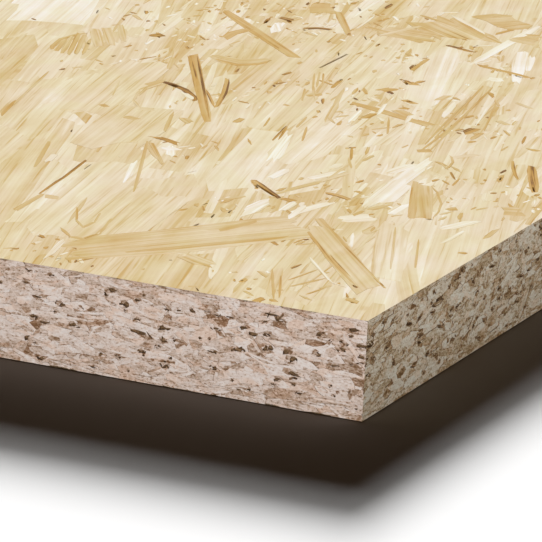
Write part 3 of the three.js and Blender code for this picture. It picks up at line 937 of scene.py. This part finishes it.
class Paint:
    """Short names for the nodes of a material or of the world."""

    def __init__(self, owner):
        owner.use_nodes = True
        self.owner, self.tree = owner, owner.node_tree

    def node(self, kind, values=(), **settings):
        """The outputs of a new node. Its sockets are fed in order, or by name or number."""
        node = self.tree.nodes.new(kind)
        for name, setting in settings.items():
            setattr(node, name, setting)
        self.feed(node, values)
        return node.outputs

    def feed(self, node, values):
        for socket, value in values.items() if isinstance(values, dict) else enumerate(values):
            if isinstance(value, bpy.types.NodeSocket):
                self.tree.links.new(value, node.inputs[socket])
            else:
                node.inputs[socket].default_value = value

    def attribute(self, name, output="Fac"):
        return self.node("ShaderNodeAttribute", attribute_name=name)[output]

    def parts(self, name):
        """The three numbers of an attribute."""
        return self.node("ShaderNodeSeparateXYZ", [self.attribute(name, "Vector")])

    def math(self, operation, *values, clamp=False):
        return self.node("ShaderNodeMath", values, operation=operation, use_clamp=clamp)[0]

    def times(self, a, b):
        return self.math("MULTIPLY", a, b)

    def plus(self, a, b, clamp=False):
        return self.math("ADD", a, b, clamp=clamp)

    def sum(self, first, *terms):
        """first plus the sum of (value, weight) pairs."""
        for value, weight in terms:
            first = self.math("MULTIPLY_ADD", value, weight, first)
        return first

    def total(self, first, *terms):
        """first plus the sum of (value, weight) pairs, each value taken about 0.5."""
        return self.sum(first, *((self.math("SUBTRACT", value, 0.5), weight) for value, weight in terms))

    def noise(self, *place, detail=2.0, rough=0.5, distort=0.0):
        """Noise at a place of three coordinates. A pair is a coordinate and its scale."""
        place = [self.times(*c) if isinstance(c, tuple) else c for c in place]
        vector = self.node("ShaderNodeCombineXYZ", place)[0]
        values = {"Vector": vector, "Scale": 1.0, "Detail": detail, "Roughness": rough, "Distortion": distort}
        return self.node("ShaderNodeTexNoise", values)["Fac"]

    def ramp(self, fac, stops):
        outputs = self.node("ShaderNodeValToRGB", [fac])
        elements = outputs[0].node.color_ramp.elements
        while len(elements) < len(stops):
            elements.new(0.5)
        for element, (place, colour) in zip(elements, stops):
            element.position, element.color = place, (*colour, 1)
        return outputs["Color"]

    def band(self, *values):
        """Smooth step of a value between two limits, from 0 to 1 or between two more numbers."""
        return self.node("ShaderNodeMapRange", values, interpolation_type="SMOOTHSTEP")[0]

    def mix(self, fac, a, b, blend="MIX"):
        return self.node("ShaderNodeMix", {0: fac, 6: a, 7: b}, data_type="RGBA", blend_type=blend)[2]

    def inset(self, share, half_width):
        """How far in from a rim a point lies, from its place in shares of the half size."""
        return self.times(self.math("SUBTRACT", 1.0, self.math("ABSOLUTE", share)), half_width)

    def with_gap_shade(self, colour, tone, fac, stops):
        """The colour, but on the floor of the gaps a ramp's own dark one, painted shade."""
        return self.mix(self.math("GREATER_THAN", tone, VOID_TONE - 0.5), colour, self.ramp(fac, stops))

    def seen_directly(self):
        """1 for the rays that show the background: those of the camera and those in metal and glass."""
        rays = self.node("ShaderNodeLightPath")
        shown = rays["Is Camera Ray"]
        for ray in ("Is Glossy Ray", "Is Transmission Ray"):
            shown = self.math("MAXIMUM", shown, rays[ray])
        return shown

    def finish(self, colour, rough, height=0.5, bump_mm=0.0, specular=0.0, **others):
        bump = self.node("ShaderNodeBump", {"Strength": 1.0, "Distance": bump_mm * MM, "Height": height})
        values = {"Base Color": colour, "Roughness": rough, "Specular IOR Level": specular, "Normal": bump[0]}
        self.feed(self.tree.nodes["Principled BSDF"], {**values, **others})
        return self.owner


def paint_of(name):
    return Paint(bpy.data.materials.new(name))


def strand_wood():
    """The broad faces. Streaks run along each strand, and stains drift over them all."""
    paint = paint_of("strand_wood")
    u, v, seed = paint.parts("grain")
    _, across_share, half_width = paint.parts("rim")
    x, y, _ = paint.parts("plan")
    tone = paint.attribute("tone")
    wander = paint.noise((u, 0.008), (v, 0.03), seed, detail=1.0)
    across = paint.total(v, (wander, 6.0))

    def streaks(per_u, per_v, shift, detail=1.0, rough=0.5):
        return paint.noise((u, per_u), (across, per_v), paint.plus(seed, shift), detail=detail, rough=rough)

    streak = streaks(0.012, 0.30, 3.1, 3.0, 0.6)
    line = streaks(0.016, 0.9, 23.0)
    fibre = streaks(0.028, 2.4, 7.7)
    scratch = streaks(0.04, 1.6, 31.0)
    fleck = streaks(0.045, 0.9, 19.1)

    cos_lean, sin_lean = 0.988, 0.156    # of 9 degrees, the lean of the stains
    beside = paint.total(0.0, (x, cos_lean), (y, sin_lean))
    ahead = paint.total(0.0, (y, cos_lean), (x, -sin_lean))

    def stains(per_beside, per_ahead, shift, detail=3.0):
        place = (beside, per_beside), (ahead, per_ahead), shift
        return paint.noise(*place, detail=detail, rough=0.6, distort=0.3)

    drift, mottle = stains(0.05, 0.02, 2.0, 2.0), stains(0.17, 0.05, 6.0)
    shade = paint.total(tone, (drift, 0.32), (mottle, 0.40), (streak, 0.28), (line, 0.34), (fibre, 0.20))

    inset = paint.inset(across_share, half_width)
    broken = paint.noise((u, 0.16), across_share, seed, detail=1.0)
    # edge: broken stretches of each strand's rim, darkened as painted shade
    edge = paint.times(paint.band(inset, 0.30, 0.05), paint.band(broken, 0.48, 0.66))
    frayed = paint.band(paint.total(inset, (fibre, -2.4)), 0.5, 0.0)
    frayed = paint.times(paint.band(tone, 0.20, 0.06), frayed)
    shade = paint.sum(shade, (edge, 0.12), (frayed, 0.20), (paint.band(scratch, 0.60, 0.72), 0.18),
                      (paint.band(fleck, 0.66, 0.80), 0.16), (paint.band(fleck, 0.33, 0.22), -0.12))
    colour = paint.ramp(paint.plus(shade, 0.0, clamp=True), STRAND_TONES)

    hue = paint.noise((u, 0.02), (v, 0.16), paint.plus(seed, 57.0))
    hue = paint.total(0.5, (hue, 1.2), (stains(0.10, 0.06, 9.0), 2.0))
    colour = paint.mix(1.0, colour, paint.mix(paint.band(hue, 0.2, 0.8), YELLOWED, PINKED), "MULTIPLY")
    colour = paint.with_gap_shade(colour, tone, paint.noise(x, y, 0.0), STRAND_GAP_SHADE_TONES)
    height = paint.total(0.5, (streak, 0.5), (line, 0.5), (fibre, 0.5))
    return paint.finish(colour, paint.band(streak, 0.3, 0.7, 0.66, 0.82), height, bump_mm=0.05, specular=0.1)


def chip_wood(name, tones, contrast):
    """A sawn edge. Its crumbs have the contrast given, and the chips' rims are soft."""
    paint = paint_of(name)
    u, v, seed = paint.parts("grain")
    along_share, across_share, half_width = paint.parts("rim")
    s, t, _ = paint.parts("plan")
    tone = paint.attribute("tone")

    def spots(per_s, per_t, shift, detail=3.0, rough=0.5, distort=0.0):
        return paint.noise((s, per_s), (t, per_t), shift, detail=detail, rough=rough, distort=distort)

    fibre = paint.noise((u, 0.6), (v, 3.0), seed)
    lump = paint.noise((u, 0.4), (v, 1.0), seed, detail=1.0)
    crumb = spots(0.75, 1.35, 4.2, rough=0.6, distort=0.4)
    grit = spots(1.9, 3.2, 9.4, detail=2.0)
    speck = spots(1.7, 2.9, 15.0, rough=0.65)

    inset = paint.inset(across_share, half_width)
    nearest = paint.math("MINIMUM", inset, paint.times(paint.inset(along_share, half_width), 2.0))
    soft = paint.band(paint.total(nearest, (grit, 0.5)), -0.05, 0.30)
    level = paint.sum(USUAL_CHIP, (paint.math("SUBTRACT", tone, USUAL_CHIP), paint.sum(0.15, (soft, 0.85))))
    shade = paint.total(level, (lump, 0.46), (fibre, 0.46), (grit, 0.46), (crumb, contrast))
    # Painted shade: darker along the chips' rims, in broken stretches, where the crevices between chips lie.
    crevice_shade = paint.times(paint.band(inset, 0.20, 0.03), paint.band(grit, 0.36, 0.52))
    shade = paint.sum(shade, (crevice_shade, 0.24), (paint.band(crumb, 0.42, 0.34), 0.30),
                      (paint.band(speck, 0.56, 0.66), 0.44), (paint.band(speck, 0.44, 0.34), -0.30))
    colour = paint.ramp(paint.plus(shade, 0.0, clamp=True), tones)

    blush = paint.noise((u, 0.2), (v, 0.4), paint.plus(seed, 31.0))
    blushed = paint.mix(1.0, colour, BLUSHED, "MULTIPLY")
    colour = paint.mix(paint.band(blush, 0.48, 0.64), colour, blushed)
    colour = paint.with_gap_shade(colour, tone, grit, CHIP_GAP_SHADE_TONES)
    height = paint.total(0.5, (crumb, 1.0), (fibre, 0.4), (grit, 0.4))
    return paint.finish(colour, paint.band(grit, 0.3, 0.7, 0.74, 0.92), height, bump_mm=0.18, specular=0.12)


# ---------------------------------------------------------------- the panel

# Flakes have their real size up to a reach from the near corner. Farther away, and where the photograph
# shows nothing, they are larger, to save triangles.
TOP_REACH, EDGE_REACH, HIDDEN_REACH = 230, 120, 1
TOP_GROWTH, EDGE_GROWTH, BOTTOM_GROWTH = 1.45, 2.1, 2.3
STRAND_SKINS = {"depths": (0, 0.03, 0.06, 0.60), "folds": 1, "overcut": 0.5}
CHIP_SKINS = {"depths": (0, 0.08, 0.16, 0.55), "folds": 4, "overcut": 0.2}
CHIP_LEVEL_SHARES, BED_FROM = (0.72, 0.2, 0.08), 0.93    # in shares of the chips, as they are laid

strands = strand_wood()
short_chips = chip_wood("chip_wood", SHORT_EDGE_TONES, 0.55)
long_chips = chip_wood("chip_wood_long", LONG_EDGE_TONES, 0.9)
faces = []


def broad_face(name, seed, place, reach, growth, seen):
    """A face of strands. Those laid later lie deeper."""
    rng = np.random.default_rng(seed)
    mat = Mat(-HALF_X, -HALF_Y, HALF_X, HALF_Y, STRAND_PIXEL, (HALF_X, -HALF_Y), reach, growth)
    if seen:
        lay_seen_strands(mat, rng)
    cover_with_strands(mat, rng)
    share = np.arange(len(mat.flakes)) / len(mat.flakes)
    faces.append(Face(name, mat, place, (share * FLAKE_LEVELS).astype(int), strands, **STRAND_SKINS))


def sawn_edge(name, seed, place, size, wood, corner=0, pits=(), chips=(), others=1.0):
    """An edge that is `size` long. It meets the near upright arris at `corner`, if it is in view.

    Most chips are level, some lie deeper, and the bed of chips, laid last, lies deepest."""
    rng = np.random.default_rng(seed)
    reach = EDGE_REACH if chips else HIDDEN_REACH
    mat = Mat(-size / 2, 0, size / 2, THICK, CHIP_PIXEL, (corner, THICK / 2), reach, EDGE_GROWTH)
    cover_with_chips(mat, rng, corner, pits, chips, others)
    levels = rng.choice(FLAKE_LEVELS, len(mat.flakes), p=CHIP_LEVEL_SHARES)
    levels[np.arange(len(levels)) > BED_FROM * len(levels)] = FLAKE_LEVELS - 1
    faces.append(Face(name, mat, place, levels, wood, **CHIP_SKINS))


broad_face("top_skin", 21, lambda x, y, d: (x, y, THICK - d), TOP_REACH, TOP_GROWTH, seen=True)
broad_face("bottom_skin", 12, lambda x, y, d: (-x, y, d), HIDDEN_REACH, BOTTOM_GROWTH, seen=False)
sawn_edge("front_edge", 20, lambda s, t, d: (s, d - HALF_Y, t), WIDTH, short_chips,
          HALF_X, FRONT_PITS, FRONT_CHIPS, 0.15)
sawn_edge("right_edge", 21, lambda s, t, d: (HALF_X - d, s, t), LENGTH, long_chips,
          -HALF_Y, RIGHT_PITS, RIGHT_CHIPS, 0.6)
sawn_edge("back_edge", 22, lambda s, t, d: (-s, HALF_Y - d, t), WIDTH, short_chips)
sawn_edge("left_edge", 23, lambda s, t, d: (d - HALF_X, -s, t), LENGTH, long_chips)

pieces = [piece for face in faces for piece in face.skins()]
for piece in pieces:
    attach(piece, "root")
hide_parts("osb_panel")


# ---------------------------------------------------------------- floor and light

FLOOR_REACH, FLOOR_DROP = 150, 0.0002    # metres: half its side, and how far it lies under the panel
FLOOR_BOUNCED, FLOOR_SEEN = (0.12, 0.12, 0.12, 1), (0.25, 0.25, 0.25, 1)
FLOOR_GLOW = (0.014, 0.008, 0.004, 1)    # a faint glow, painted light: the brown of the photograph's shadow
AMBIENT, AMBIENT_STRENGTH = (1.0, 0.9, 0.8, 1), 0.012


def floor_white():
    """White under its own lamps where it is seen, and darker for the light that it throws back."""
    paint = paint_of("floor_white")
    colour = paint.mix(paint.seen_directly(), FLOOR_BOUNCED, FLOOR_SEEN)
    # The floor glows faintly brown, painted light that shows in its shadows.
    return paint.finish(colour, 0.9, **{"Emission Color": FLOOR_GLOW, "Emission Strength": 1.0})


def lit_group(name, members):
    group = bpy.data.collections.new(name)
    for member in members:
        group.objects.link(member)
    return group


def sun(name, azimuth, elevation, strength, spread, lit):
    """A far soft lamp that lights one group. A face square to it shows its own colour at strength 1."""
    lamp = bpy.data.lights.new(name, "SUN")
    lamp.energy, lamp.angle = strength * math.pi, math.radians(spread)
    lamp_object = linked(name, lamp)
    lamp_object.rotation_euler = direction(azimuth, elevation).to_track_quat("Z", "Y").to_euler()
    lamp_object.light_linking.receiver_collection = lit


def studio():
    """A world that is pale where it is seen and nearly black as light."""
    paint = Paint(bpy.data.worlds.new("studio"))
    nodes = paint.tree.nodes
    paint.feed(nodes["Background"], {"Color": AMBIENT, "Strength": AMBIENT_STRENGTH})
    shaders = nodes["Background"].outputs[0], paint.node("ShaderNodeBackground")[0]
    choice = paint.node("ShaderNodeMixShader", [paint.seen_directly(), *shaders])
    paint.feed(nodes["World Output"], {"Surface": choice[0]})
    return paint.owner


floor_mesh = bpy.data.meshes.new("floor")
far = FLOOR_REACH
floor_corners = [(x, y, -FLOOR_DROP) for x, y in ((-far, -far), (far, -far), (far, far), (-far, far))]
floor_mesh.from_pydata(floor_corners, [], [(0, 1, 2, 3)])
floor_mesh.materials.append(floor_white())
floor = linked("floor", floor_mesh)

panel_group, floor_group = lit_group("panel_group", pieces), lit_group("floor_group", [floor])
sun("panel_key", 203, 52, 1.00, 20, panel_group)
sun("panel_fill", 25.8, 8, 0.95, 30, panel_group)
sun("floor_key", 202.6, 16.3, 10.6, 8, floor_group)
sun("floor_soft", 204.3, 18.3, 3.7, 17, floor_group)
bpy.context.scene.world = studio()
bpy.context.scene.view_settings.view_transform = "Standard"
